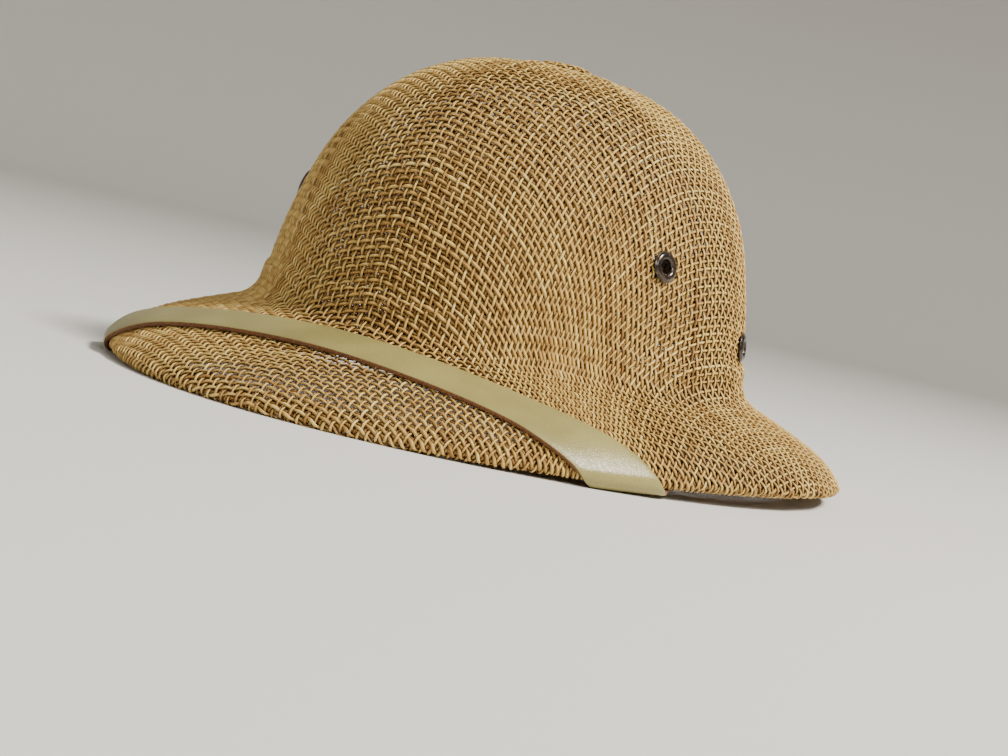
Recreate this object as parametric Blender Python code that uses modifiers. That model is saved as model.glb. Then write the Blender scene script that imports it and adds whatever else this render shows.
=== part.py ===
"""Pith helmet of open straw weave: pressed shell, four eyelets and a chin strap.

The front is -Y, the wearer's left is +X and up is +Z.  The helmet rests on the
front and the back of its rim, and the origin is under the middle of it.
"""
import math

import bmesh
import bpy
from mathutils import Matrix, Vector

# Shell, in metres: half lengths and half widths are taken from the crown's middle
CROWN_HEIGHT = 0.1393
CROWN_HALF_LENGTH = 0.107
CROWN_HALF_WIDTH = 0.0917
CROWN_FLARE_DROP = 0.0326
BRIM_JOIN_HEIGHT = 0.0314
BRIM_FRONT = 0.1705
BRIM_BACK = 0.165
BRIM_HALF_WIDTH = 0.1367
BRIM_EDGE_BEND = 0.0055
SIDE_LIFT = 0.0057
REST_HALF_ANGLE = math.radians(10.0)
SHELL_WALL = 0.0018
JOIN_FILLET = 0.008
HEM_DEPTH = 0.010
HEM_SLOT = 0.0006

# Relief pressed into the crown
BAND_HEIGHT = 0.0125
BAND_EDGE = 0.003
BAND_PROUD = 0.0013
BUTTON_RADIUS = 0.010
BUTTON_PROUD = 0.0024
PANELS = 6
CREASE_PROUD = 0.0013

# Shape shares: a higher exponent is a squarer outline
SHAPE = {
    "crown_height_exponent": 2.71,
    "crown_width_exponent": 2.50,
    "brim_plan_exponent": 1.90,
    "brim_slope_at_crown": 0.89,
    "brim_bend_exponent": 8.0,
    "crease_fades_from": 0.62,
    "crease_fades_to": 0.36,
    "crease_starts_at": 0.8,
    "crease_starts_over": 2.0,
    "button_edge_at": 0.7,
    "button_edge_over": 0.6,
    "button_rings": (0.6, 0.85, 1.1, 1.5),
    "roll_turns": (0.0, 0.28, 0.56),
    "side_lift_exponent": 1.6,
    "strap_skews_from": 0.65,
    "strap_plan_exponent": 2.1,
}
ROLL_OVERHANG = 0.4
# The turned edge has a facet that lies flat on the ground, this far each side of the lowest line
LAND_HALF_TURN = math.radians(20.0)
LAND_SHARE = math.cos(LAND_HALF_TURN)

# Eyelets: where they sit is an angle from the front and a share of the crown's height
EYELET_HOLE_RADIUS = 0.0025
EYELET_BARREL_RADIUS = 0.0033
EYELET_FLANGE_RADIUS = 0.0057
EYELET_FLANGE_RISE = 0.0014
EYELET_CLINCH_RADIUS = 0.0048
EYELET_CLINCH_RISE = 0.0009
EYELET_STEPS = 16
EYELET_ROWS = (
    {"place": "front", "angle_degrees": 61.1, "height_share": 0.402},
    {"place": "rear", "angle_degrees": 106.0, "height_share": 0.185},
)
FLANGE_EDGE_SHARE = 0.25
FLANGE_CREST_SHARE = 0.8
CLINCH_EDGE_SHARE = 0.4

# Chin strap, stored over the front of the brim
STRAP_WIDTH = 0.0170
STRAP_THICKNESS = 0.0018
STRAP_SETBACK = 0.0200
STRAP_RIM_ANGLE = math.radians(43.8)
STRAP_ROUTE_ROWS = (
    {"angle_degrees": 73.0, "out_in_fillets": 0.35, "rise_in_widths": -0.62, "twist_degrees": 50.0},
    {"angle_degrees": 82.0, "out_in_fillets": 0.10, "rise_in_widths": 0.00, "twist_degrees": 80.0},
    {"angle_degrees": 90.5, "out_in_fillets": 0.00, "rise_in_widths": 0.46, "twist_degrees": 90.0},
    {"angle_degrees": 99.0, "out_in_fillets": 0.00, "rise_in_widths": 0.55, "twist_degrees": 90.0},
)
RIVET_SHANK_RADIUS = 0.0015
RIVET_HEAD_RADIUS = 0.0035
RIVET_HEAD_THICKNESS = 0.0010
RIVET_EDGE_SHARE = 0.4
RIVET_FLAT_SHARE = 0.6

# Clearances, how far a hole's cutter runs through, and the step for finding a slope
GAP = 0.0004
INNER_GAP = 0.0007
HOLE_CLEARANCE = 0.0004
SHELL_CUT_DEPTH = 6.0 * SHELL_WALL
STRAP_CUT_DEPTH = 4.0 * STRAP_THICKNESS
SLOPE_STEP = 0.02

# Facets
SECTORS = 60
CROWN_RINGS = 9
FILLET_RINGS = 3
BRIM_RINGS = 5
STRAP_ACROSS = 4
STRAP_BRIM_STEPS = 11
STRAP_STEP_EXPONENT = 1.35
STRAP_ROLL_STEPS = 6
STRAP_ROUTE_STEPS = 2
MERGE_DISTANCE = 0.00001
SIDES = (("left", 1.0), ("right", -1.0))

STRAW = (0.58, 0.38, 0.16)
VINYL = (0.42, 0.36, 0.18)
BRONZE = (0.05, 0.04, 0.03)

ROLL_RADIUS = SHELL_WALL + HEM_SLOT / 2
MIDDLE_Y = (BRIM_FRONT - BRIM_BACK) / 2
DOME_HEIGHT = CROWN_HEIGHT - BRIM_JOIN_HEIGHT
# The crown's curve is widest below the brim's join, so its wall still flares where they meet
CURVE_HEIGHT = DOME_HEIGHT + CROWN_FLARE_DROP
WIDEST_SHARE = (CROWN_FLARE_DROP / CURVE_HEIGHT) ** SHAPE["crown_height_exponent"]
BASE_SHARE = (1.0 - WIDEST_SHARE) ** (1.0 / SHAPE["crown_width_exponent"])


def smoothstep(value):
    value = min(max(value, 0.0), 1.0)
    return value * value * (3.0 - 2.0 * value)


def oval(angle, half_length, half_width, exponent):
    along = abs(math.cos(angle) / half_length) ** exponent
    across = abs(math.sin(angle) / half_width) ** exponent
    return (along + across) ** (-1.0 / exponent)


def base_radius(angle):
    """Radius of the crown's base, from its middle, at an angle from the front."""
    return oval(angle, CROWN_HALF_LENGTH, CROWN_HALF_WIDTH, 2.0)


def rim_radius(angle):
    length = BRIM_FRONT if math.cos(angle) > 0.0 else BRIM_BACK
    edge = ROLL_RADIUS * ROLL_OVERHANG
    return oval(angle, length - edge, BRIM_HALF_WIDTH - edge, SHAPE["brim_plan_exponent"])


def rim_lift(angle):
    """How far the rim stands clear of the ground: nothing at front and back."""
    rest = math.sin(REST_HALF_ANGLE)
    share = max(0.0, abs(math.sin(angle)) - rest) / (1.0 - rest)
    return SIDE_LIFT * share ** SHAPE["side_lift_exponent"]


def brim_end(angle):
    """Height of the brim's top face at the rim, and its slope there."""
    run = rim_radius(angle) - base_radius(angle)
    steepest = 2.0 - SHAPE["brim_slope_at_crown"]
    height = rim_lift(angle) + 2.0 * ROLL_RADIUS
    bend = SHAPE["brim_bend_exponent"] * BRIM_EDGE_BEND
    for _ in range(4):
        slope = math.atan((steepest * (BRIM_JOIN_HEIGHT - BRIM_EDGE_BEND - height) + bend) / run)
        height = rim_lift(angle) + ROLL_RADIUS * (math.cos(slope) + LAND_SHARE)
    return height, slope


def brim_point(angle, share, offset=0.0):
    """Radius and height on the brim's top face, moved out along its normal."""
    inner = base_radius(angle)
    run = rim_radius(angle) - inner
    end, _ = brim_end(angle)
    drop = BRIM_JOIN_HEIGHT - BRIM_EDGE_BEND - end
    first = SHAPE["brim_slope_at_crown"]
    power = SHAPE["brim_bend_exponent"]
    fall = drop * (first + (1.0 - first) * share) * share + BRIM_EDGE_BEND * share ** power
    slope = drop * (first + 2.0 * (1.0 - first) * share) + BRIM_EDGE_BEND * power * share ** (power - 1.0)
    length = math.hypot(run, slope)
    radius = inner + run * share + offset * slope / length
    height = BRIM_JOIN_HEIGHT - fall + offset * run / length
    return radius, height


def roll_point(angle, turn, offset=0.0):
    """On the turned edge: turn 0 is the brim's top face and pi is the hem."""
    height, slope = brim_end(angle)
    radius = rim_radius(angle)
    heading = math.pi / 2 - slope - turn
    centre = (radius - ROLL_RADIUS * math.sin(slope), height - ROLL_RADIUS * math.cos(slope))
    reach = ROLL_RADIUS + offset
    return centre[0] + reach * math.cos(heading), centre[1] + reach * math.sin(heading)


def hem_point(angle, share, offset=0.0):
    return brim_point(angle, share, -2.0 * ROLL_RADIUS - offset)


def crease(angle):
    """One on the line between two panels of the crown, nothing amid a panel."""
    half = math.pi / PANELS
    away = abs((angle + half) % (2.0 * half) - half)
    return (1.0 - away / half) ** 2


def crown_point(angle, lean):
    """Radius and height on the crown: lean 0 is its top and pi/2 its widest line."""
    width_share = math.sin(lean) ** (2.0 / SHAPE["crown_width_exponent"]) / BASE_SHARE
    above = math.cos(lean) ** (2.0 / SHAPE["crown_height_exponent"]) * CURVE_HEIGHT - CROWN_FLARE_DROP
    height_share = max(0.0, above / DOME_HEIGHT)
    recess = BAND_PROUD * smoothstep((above - BAND_HEIGHT) / BAND_EDGE + 0.5)
    radius = (base_radius(angle) - recess) * width_share
    low = SHAPE["crease_fades_to"]
    fade = smoothstep((height_share - low) / (SHAPE["crease_fades_from"] - low))
    start = smoothstep((radius / BUTTON_RADIUS - SHAPE["crease_starts_at"]) / SHAPE["crease_starts_over"])
    proud = CREASE_PROUD * crease(angle) * fade * start
    edge = smoothstep((radius / BUTTON_RADIUS - SHAPE["button_edge_at"]) / SHAPE["button_edge_over"])
    button = BUTTON_PROUD * (1.0 - edge)
    radius += proud * width_share
    height = BRIM_JOIN_HEIGHT + above + proud * height_share + button
    return radius, height


def fillet_point(angle, share):
    """Round between the crown's wall and the brim."""
    top = crown_point(angle, FILLET_LEAN)
    run = rim_radius(angle) - base_radius(angle)
    foot = brim_point(angle, JOIN_FILLET / run)
    corner = (base_radius(angle), BRIM_JOIN_HEIGHT)
    weights = ((1.0 - share) ** 2, 2.0 * share * (1.0 - share), share ** 2)
    radius = sum(w * p[0] for w, p in zip(weights, (top, corner, foot)))
    height = sum(w * p[1] for w, p in zip(weights, (top, corner, foot)))
    return radius, height


def lean_at_height(above):
    """The crown's lean at a height above the brim's join."""
    share = (above + CROWN_FLARE_DROP) / CURVE_HEIGHT
    return math.acos(share ** (SHAPE["crown_height_exponent"] / 2.0))


def lean_at_radius(radius):
    mean = (CROWN_HALF_LENGTH + CROWN_HALF_WIDTH) / 2
    return math.asin((radius / mean * BASE_SHARE) ** (SHAPE["crown_width_exponent"] / 2.0))


FILLET_LEAN = lean_at_height(JOIN_FILLET)


def place(angle, profile):
    """A point in space from an angle and a radius and height."""
    radius, height = profile
    return Vector((radius * math.sin(angle), MIDDLE_Y - radius * math.cos(angle), height))


def shell_profile(angle):
    """The shell's outer face from the crown's top to the end of the hem."""
    button = [lean_at_radius(BUTTON_RADIUS * share) for share in SHAPE["button_rings"]]
    edge = [lean_at_height(BAND_HEIGHT + BAND_EDGE * side) for side in (0.5, -0.5)]
    step = (edge[0] - button[-1]) / CROWN_RINGS
    leans = button + [button[-1] + step * i for i in range(1, CROWN_RINGS)] + edge
    points = [crown_point(angle, lean) for lean in leans]
    points += [fillet_point(angle, i / FILLET_RINGS) for i in range(FILLET_RINGS + 1)]
    run = rim_radius(angle) - base_radius(angle)
    start = JOIN_FILLET / run
    hem = 1.0 - HEM_DEPTH / run
    points += [brim_point(angle, start + (hem - start) * i / BRIM_RINGS) for i in range(1, BRIM_RINGS + 1)]
    amid_hem = (hem + 1.0) / 2
    points.append(brim_point(angle, amid_hem))
    _, slope = brim_end(angle)
    lowest = math.pi - slope
    turns = [lowest * share for share in SHAPE["roll_turns"]]
    turns += [lowest - LAND_HALF_TURN, lowest + LAND_HALF_TURN]
    points += [roll_point(angle, turn) for turn in turns]
    points += [hem_point(angle, share) for share in (1.0, amid_hem, hem)]
    return points


def new_object(name, mesh, material, collection):
    thing = bpy.data.objects.new(name, mesh)
    mesh.materials.append(material)
    collection.objects.link(thing)
    return thing


def mesh_from_rows(name, rows, closed, pole=None):
    """A surface through rows of points, from the top down and left-handed about it."""
    form = bmesh.new()
    grid = [[form.verts.new(point) for point in row] for row in rows]
    count = len(rows[0])
    spans = count if closed else count - 1
    for upper, lower in zip(grid, grid[1:]):
        for i in range(spans):
            j = (i + 1) % count
            form.faces.new((upper[i], lower[i], lower[j], upper[j]))
    if pole is not None:
        top = form.verts.new(pole)
        for i in range(spans):
            form.faces.new((top, grid[0][i], grid[0][(i + 1) % count]))
    mesh = bpy.data.meshes.new(name)
    form.to_mesh(mesh)
    form.free()
    mesh.shade_smooth()
    return mesh


def solidify(thing, thickness, offset):
    wall = thing.modifiers.new("wall", "SOLIDIFY")
    wall.thickness = thickness
    wall.offset = offset
    wall.use_even_offset = True


def add_shell(material, collection, cutters):
    """Crown and brim in one pressed piece, with its edge turned under."""
    angles = [2.0 * math.pi * i / SECTORS for i in range(SECTORS)]
    profiles = [shell_profile(angle) for angle in angles]
    rows = [
        [place(angle, profile[ring]) for angle, profile in zip(angles, profiles)]
        for ring in range(len(profiles[0]))
    ]
    pole = (0.0, MIDDLE_Y, CROWN_HEIGHT + BUTTON_PROUD)
    shell = new_object("woven_shell", mesh_from_rows("woven_shell", rows, True, pole), material, collection)
    solidify(shell, SHELL_WALL, -1.0)
    for name, seat in eyelet_seats():
        punch(shell, add_hole_cutter(name, seat, EYELET_BARREL_RADIUS, SHELL_CUT_DEPTH, cutters))


def eyelet_seats():
    """Name and seat of each eyelet: its seat's Z runs out of the shell."""
    seats = []
    for row in EYELET_ROWS:
        lean = lean_at_height(row["height_share"] * DOME_HEIGHT)
        for side, sign in SIDES:
            angle = sign * math.radians(row["angle_degrees"])
            seats.append((side + "_" + row["place"], crown_seat(angle, lean)))
    return seats


def crown_seat(angle, lean):
    """Matrix of a seat on the crown's outer face."""
    here = place(angle, crown_point(angle, lean))
    along = place(angle + SLOPE_STEP, crown_point(angle + SLOPE_STEP, lean)) - here
    down = place(angle, crown_point(angle, lean + SLOPE_STEP)) - here
    out = down.cross(along).normalized()
    side = along.normalized()
    up = out.cross(side).normalized()
    turn = Matrix((side, up, out)).transposed().to_4x4()
    return Matrix.Translation(here) @ turn


def punch(thing, cutter):
    hole = thing.modifiers.new(cutter.name, "BOOLEAN")
    hole.operation = "DIFFERENCE"
    hole.solver = "EXACT"
    hole.object = cutter


def add_hole_cutter(name, seat, pin_radius, depth, cutters):
    """A cutter for a hole that a pin of this radius goes through with clearance."""
    form = bmesh.new()
    radius = pin_radius + HOLE_CLEARANCE
    bmesh.ops.create_cone(
        form, cap_ends=True, segments=EYELET_STEPS, radius1=radius, radius2=radius, depth=depth)
    mesh = bpy.data.meshes.new("cutter_" + name)
    form.to_mesh(mesh)
    form.free()
    cutter = bpy.data.objects.new("cutter_" + name, mesh)
    cutter.matrix_world = seat
    cutter.hide_render = True
    cutter.display_type = "WIRE"
    cutters.objects.link(cutter)
    return cutter


def eyelet_outline():
    """Radius and height round the eyelet's section, down its outer side first."""
    hole = EYELET_HOLE_RADIUS
    barrel = EYELET_BARREL_RADIUS
    flange = EYELET_FLANGE_RADIUS
    clinch = EYELET_CLINCH_RADIUS
    seat = GAP
    crest = seat + EYELET_FLANGE_RISE
    inner_seat = -SHELL_WALL - INNER_GAP
    inner_crest = inner_seat - EYELET_CLINCH_RISE
    middle = (hole + flange) / 2
    return [
        (middle, crest),
        ((middle + flange) / 2, seat + FLANGE_CREST_SHARE * EYELET_FLANGE_RISE),
        (flange, seat + FLANGE_EDGE_SHARE * EYELET_FLANGE_RISE),
        (flange, seat),
        (barrel, seat),
        (barrel, inner_seat),
        (clinch, inner_seat),
        (clinch, inner_seat - CLINCH_EDGE_SHARE * EYELET_CLINCH_RISE),
        (barrel, inner_crest),
        (hole, inner_seat - CLINCH_EDGE_SHARE * EYELET_CLINCH_RISE),
        (hole, seat + FLANGE_EDGE_SHARE * EYELET_FLANGE_RISE),
        ((hole + middle) / 2, seat + FLANGE_CREST_SHARE * EYELET_FLANGE_RISE),
    ]


def turned_mesh_object(name, outline, closed, steps, material, collection):
    """A profile at +X turned about Z with a Screw modifier."""
    form = bmesh.new()
    points = [form.verts.new((radius, 0.0, height)) for radius, height in outline]
    for first, second in zip(points, points[1:]):
        form.edges.new((first, second))
    if closed:
        form.edges.new((points[-1], points[0]))
    mesh = bpy.data.meshes.new(name)
    form.to_mesh(mesh)
    form.free()
    thing = new_object(name, mesh, material, collection)
    turn = thing.modifiers.new("turned", "SCREW")
    turn.axis = "Z"
    turn.angle = 2.0 * math.pi
    turn.steps = steps
    turn.render_steps = steps
    turn.use_merge_vertices = True
    turn.merge_threshold = MERGE_DISTANCE
    turn.use_smooth_shade = True
    return thing


def add_eyelets(material, collection):
    for name, seat in eyelet_seats():
        eyelet = turned_mesh_object(
            "eyelet_" + name, eyelet_outline(), True, EYELET_STEPS, material, collection)
        eyelet.matrix_world = seat


def strap_plan(share):
    """The strap's middle line seen from above, from the front to the rim, and its heading."""
    front = Vector((0.0, -CROWN_HALF_LENGTH - STRAP_SETBACK))
    radius = rim_radius(STRAP_RIM_ANGLE)
    end = Vector((radius * math.sin(STRAP_RIM_ANGLE), -radius * math.cos(STRAP_RIM_ANGLE)))
    span = end - front
    power = SHAPE["strap_plan_exponent"]
    middle = front + Vector((span.x * share, span.y * share ** power))
    heading = Vector((span.x, power * span.y * share ** (power - 1.0))).normalized()
    return middle, heading


def rim_heading():
    """Direction of the rim, seen from above, where the strap crosses it."""
    ends = []
    for angle in (STRAP_RIM_ANGLE - SLOPE_STEP, STRAP_RIM_ANGLE + SLOPE_STEP):
        radius = rim_radius(angle)
        ends.append(Vector((radius * math.sin(angle), -radius * math.cos(angle))))
    return (ends[1] - ends[0]).normalized()


def strap_crossing():
    """Angle between strap and rim, and half the angle about the crown that it covers."""
    _, heading = strap_plan(1.0)
    crossing = abs(heading.angle(rim_heading()))
    half_angle = STRAP_WIDTH / 2 / math.sin(crossing) / rim_radius(STRAP_RIM_ANGLE)
    return crossing, half_angle


def across_shares():
    return [2.0 * i / STRAP_ACROSS - 1.0 for i in range(STRAP_ACROSS + 1)]


def brim_share(radius, angle):
    inner = base_radius(angle)
    return (radius - inner) / (rim_radius(angle) - inner)


def strap_rows():
    """Rows of the strap's inner face for its left half, from the front to its end."""
    crossing, half_angle = strap_crossing()
    edge = rim_radius(STRAP_RIM_ANGLE)
    rows = []
    for i in range(STRAP_BRIM_STEPS):
        share = 1.0 - (1.0 - i / STRAP_BRIM_STEPS) ** STRAP_STEP_EXPONENT
        middle, heading = strap_plan(share)
        turn = smoothstep((share - SHAPE["strap_skews_from"]) / (1.0 - SHAPE["strap_skews_from"]))
        side = Vector((-heading.y, heading.x))
        row = []
        for across in across_shares():
            square = side * across * STRAP_WIDTH / 2
            angle = STRAP_RIM_ANGLE + across * half_angle
            radius = rim_radius(angle)
            on_rim = Vector((radius * math.sin(angle), -radius * math.cos(angle)))
            skewed = on_rim - strap_plan(1.0)[0]
            spot = middle + square.lerp(skewed, turn)
            angle = math.atan2(spot.x, -spot.y)
            row.append(place(angle, brim_point(angle, brim_share(spot.length, angle), GAP)))
        rows.append(row)
    lag = 1.0 / math.tan(crossing) / edge
    run = edge - base_radius(STRAP_RIM_ANGLE)
    for i in range(STRAP_ROLL_STEPS + 1):
        turn = math.pi * i / STRAP_ROLL_STEPS
        ahead = lag * (ROLL_RADIUS + GAP) * turn
        angles = [STRAP_RIM_ANGLE + ahead + across * half_angle for across in across_shares()]
        rows.append([place(angle, roll_point(angle, turn, GAP)) for angle in angles])
    ahead = lag * ((ROLL_RADIUS + GAP) * math.pi + HEM_DEPTH)
    rows.append(strap_hem_row(STRAP_RIM_ANGLE + ahead, 1.0 - HEM_DEPTH / run))
    for stop in STRAP_ROUTE_ROWS:
        reached = upright_row(stop)
        rows += rows_between(rows[-1], reached, STRAP_ROUTE_STEPS) + [reached]
    return rows


def strap_hem_row(angle, share):
    """The strap's row where it leaves the hem for the crown, as wide as the strap."""
    here = place(angle, hem_point(angle, share, GAP)).xy
    target = upright_row(STRAP_ROUTE_ROWS[0])[STRAP_ACROSS // 2]
    leaving = (target.xy - here).angle(rim_heading())
    half_angle = STRAP_WIDTH / 2 / math.sin(leaving) / here.length
    angles = [angle + across * half_angle for across in across_shares()]
    return [place(turned, hem_point(turned, share, GAP)) for turned in angles]


def wall_clear_radius(angle):
    """Where the strap's upright end stands clear of the crown's inner face."""
    rise = (STRAP_ROUTE_ROWS[-1]["rise_in_widths"] + 0.5) * STRAP_WIDTH
    wall, _ = crown_point(angle, lean_at_height(rise))
    return wall - SHELL_WALL - INNER_GAP


def upright_row(stop):
    """A row inside the crown, turned from flat (twist 0) to upright against the wall."""
    angle = math.radians(stop["angle_degrees"])
    twist = math.radians(stop["twist_degrees"])
    radius = wall_clear_radius(angle) + stop["out_in_fillets"] * JOIN_FILLET
    height = BRIM_JOIN_HEIGHT + stop["rise_in_widths"] * STRAP_WIDTH
    row = []
    for across in across_shares():
        reach = across * STRAP_WIDTH / 2
        row.append(place(angle, (radius + reach * math.cos(twist), height - reach * math.sin(twist))))
    return row


def rows_between(first, last, count):
    """Rows that carry the strap from one row to another at its full width."""
    middle = STRAP_ACROSS // 2
    spread = [row[-1] - row[0] for row in (first, last)]
    rows = []
    for i in range(1, count + 1):
        share = i / (count + 1)
        centre = first[middle].lerp(last[middle], share)
        length = spread[0].length * (1.0 - share) + spread[1].length * share
        aim = spread[0].normalized().lerp(spread[1].normalized(), share).normalized()
        rows.append([centre + aim * (across * length / 2) for across in across_shares()])
    return rows


def rivet_seats():
    """Name and seat of each rivet: on the strap's wall side, with Z into the crown."""
    ends = [upright_row(stop)[STRAP_ACROSS // 2] for stop in STRAP_ROUTE_ROWS[-2:]]
    middle = (ends[0] + ends[1]) / 2
    inward = (ends[1] - ends[0]).cross(Vector((0.0, 0.0, -1.0))).normalized()
    seats = []
    for side, sign in SIDES:
        here = Vector((sign * middle.x, middle.y, middle.z))
        axis = Vector((sign * inward.x, inward.y, 0.0))
        up = Vector((0.0, 0.0, 1.0))
        turn = Matrix((up.cross(axis), up, axis)).transposed().to_4x4()
        seats.append((side, Matrix.Translation(here) @ turn))
    return seats


def rivet_outline():
    """Radius and height of the plain rivet's section, from its crown to its foot."""
    seat = STRAP_THICKNESS + GAP
    top = seat + RIVET_HEAD_THICKNESS
    return [
        (0.0, top),
        (RIVET_FLAT_SHARE * RIVET_HEAD_RADIUS, top),
        (RIVET_HEAD_RADIUS, seat + RIVET_EDGE_SHARE * RIVET_HEAD_THICKNESS),
        (RIVET_HEAD_RADIUS, seat),
        (RIVET_SHANK_RADIUS, seat),
        (RIVET_SHANK_RADIUS, 0.0),
        (0.0, 0.0),
    ]


def add_rivets(material, collection):
    for side, seat in rivet_seats():
        rivet = turned_mesh_object(
            "strap_rivet_" + side, rivet_outline(), False, EYELET_STEPS, material, collection)
        rivet.matrix_world = seat


def add_strap(material, collection, cutters):
    mesh = mesh_from_rows("chin_strap", strap_rows(), False)
    strap = new_object("chin_strap", mesh, material, collection)
    halves = strap.modifiers.new("halves", "MIRROR")
    halves.use_axis = (True, False, False)
    halves.use_clip = True
    halves.merge_threshold = MERGE_DISTANCE
    solidify(strap, STRAP_THICKNESS, 1.0)
    for side, seat in rivet_seats():
        punch(strap, add_hole_cutter("rivet_" + side, seat, RIVET_SHANK_RADIUS, STRAP_CUT_DEPTH, cutters))


def add_material(name, colour, roughness, metallic):
    material = bpy.data.materials.new(name)
    material.use_nodes = True
    shader = material.node_tree.nodes["Principled BSDF"]
    shader.inputs["Base Color"].default_value = (*colour, 1.0)
    shader.inputs["Roughness"].default_value = roughness
    shader.inputs["Metallic"].default_value = metallic
    return material


def main():
    for thing in list(bpy.data.objects):
        bpy.data.objects.remove(thing)
    parts = bpy.data.collections.new("pith_helmet")
    cutters = bpy.data.collections.new("cutters")
    bpy.context.scene.collection.children.link(parts)
    bpy.context.scene.collection.children.link(cutters)
    add_shell(add_material("straw", STRAW, 0.8, 0.0), parts, cutters)
    bronze = add_material("bronze", BRONZE, 0.3, 0.9)
    add_eyelets(bronze, parts)
    add_strap(add_material("vinyl", VINYL, 0.4, 0.0), parts, cutters)
    add_rivets(bronze, parts)


main()
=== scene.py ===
"""The looks of the pith helmet: two plies of woven straw, turned eyelets and a leather-cloth strap.

The front is -Y, the wearer's left is +X and up is +Z, in metres.
"""
import math

import bpy
import numpy as np
from mathutils import Matrix, Vector


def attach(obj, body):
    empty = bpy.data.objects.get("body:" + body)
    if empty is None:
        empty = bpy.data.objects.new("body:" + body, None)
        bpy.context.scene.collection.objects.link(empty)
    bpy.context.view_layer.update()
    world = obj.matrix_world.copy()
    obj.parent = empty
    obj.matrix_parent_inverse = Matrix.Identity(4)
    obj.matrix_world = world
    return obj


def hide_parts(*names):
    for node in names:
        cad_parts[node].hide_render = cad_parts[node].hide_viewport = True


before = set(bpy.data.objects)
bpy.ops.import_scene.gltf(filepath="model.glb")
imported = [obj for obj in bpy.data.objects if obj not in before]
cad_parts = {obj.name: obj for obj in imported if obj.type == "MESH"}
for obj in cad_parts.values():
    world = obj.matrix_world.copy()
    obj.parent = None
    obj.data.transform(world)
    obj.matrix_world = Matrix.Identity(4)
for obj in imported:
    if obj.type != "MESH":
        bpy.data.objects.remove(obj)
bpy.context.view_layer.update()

# The shell's sizes, as in the solids
CROWN_HEIGHT = 0.1393
CROWN_HALF_LENGTH = 0.107
CROWN_HALF_WIDTH = 0.0917
CROWN_FLARE_DROP = 0.0326
JOIN_HEIGHT = 0.0314
BRIM_FRONT = 0.1705
BRIM_BACK = 0.165
BRIM_HALF_WIDTH = 0.1367
EDGE_BEND = 0.0055
BEND_EXPONENT = 8.0
SIDE_LIFT = 0.0057
LIFT_EXPONENT = 1.6
REST_HALF_ANGLE = math.radians(10.0)
WALL = 0.0018
ROLL_RADIUS = 0.0021
ROLL_OVERHANG = 0.4
JOIN_FILLET = 0.008
HEM_DEPTH = 0.010
BAND_HEIGHT = 0.0125
BAND_EDGE = 0.003
BAND_PROUD = 0.0013
BUTTON_RADIUS = 0.010
BUTTON_PROUD = 0.0024
# In button radii: where the button's slope and the creases begin, and how long each takes
BUTTON_SLOPE_FROM = 0.7
BUTTON_SLOPE = 0.6
CREASE_START = 0.8
CREASE_RUN_IN = 2.0
PANELS = 6
CREASE_PROUD = 0.0013
HEIGHT_EXPONENT = 2.71
WIDTH_EXPONENT = 2.50
PLAN_EXPONENT = 1.90
FIRST_SLOPE = 0.89
CREASE_FROM = 0.62
CREASE_TO = 0.36
MIDDLE_Y = (BRIM_FRONT - BRIM_BACK) / 2
DOME_HEIGHT = CROWN_HEIGHT - JOIN_HEIGHT
CURVE_HEIGHT = DOME_HEIGHT + CROWN_FLARE_DROP
BASE_SHARE = (1.0 - (CROWN_FLARE_DROP / CURVE_HEIGHT) ** HEIGHT_EXPONENT) ** (1.0 / WIDTH_EXPONENT)
# The turned edge ends below in a narrow flat, this share of its radius under its middle
LAND_SHARE = math.cos(math.radians(20.0))

# Weave
PITCH = 0.00295
# Half widths: yarns across the helmet are wider than those along it
YARN_RADII = (0.00059, 0.00048)
YARN_FLATNESS = 0.62
CRIMP = 0.00034
# A yarn's wave rises past its crimp by this factor, and its crests are cut off flat
CRIMP_SHARPNESS = 1.3
YARN_SIDES = 4
# Two plies lie half a pitch apart: the inner one shows through the outer one's holes
PLIES = (
    {"name": "outer", "offset": 0.00045, "hops": (0.22, 0.78), "roll_steps": 6},
    {"name": "inner", "offset": -0.00045, "hops": (0.0,), "roll_steps": 4},
)
# Pitches before and past the turned edge within which samples lie closer
ROLL_MARGINS = (0.3, 0.5)
# Spare cloth past the hem, which is trimmed away
SPARE_CLOTH = 0.012
# Each family of yarns lies in three pieces, named from its first line to its last
FAMILIES = (("across", ("back", "middle", "front")), ("along", ("right", "middle", "left")))
MIDDLE_PIECE_SHARE = 0.46
SEED = 7
# How a whole yarn strays, how far it does so slowly along itself, and over how many samples
SIDEWAYS_STRAY = {"whole": 0.045, "slow": 0.035, "samples": 9.0}
THICKNESS_STRAY = {"whole": 0.08, "slow": 0.07, "samples": 6.0}
TONE_STRAY = {"whole": 0.12, "slow": 0.12, "samples": 14.0}
TONE_SPECKS = 0.05
# Painted shade: straw is darkened towards brown on the side of each yarn that faces into the helmet and where
# it lies deep in the cloth, standing in for shade there
PAINTED_SHADE_COLOUR = (0.20, 0.105, 0.050, 1.0)
PAINTED_DEPTH_SHADE = 0.86
TOP_OF_CLOTH = 0.00079
DEEP_IN_CLOTH = 0.0011
# How the painted shade sets in as a yarn's face turns away from the wall's normal
PAINTED_SHADE_ONSET = {"start": 0.15, "gain": 0.5, "span": 0.6}
# The straw's noise: how fast it runs along a yarn, and its shift from yarn to yarn
GRAIN_PER_METRE = 100.0
GRAIN_BETWEEN_YARNS = 7.3
STREAKS = 0.9
# Texture: a strip for each yarn with a margin below and above, and a patch for each end
STRIP_MARGIN = 0.04
STRIP_SHARE = 1.0 - 2.0 * STRIP_MARGIN
END_PATCH = 0.3

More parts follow.
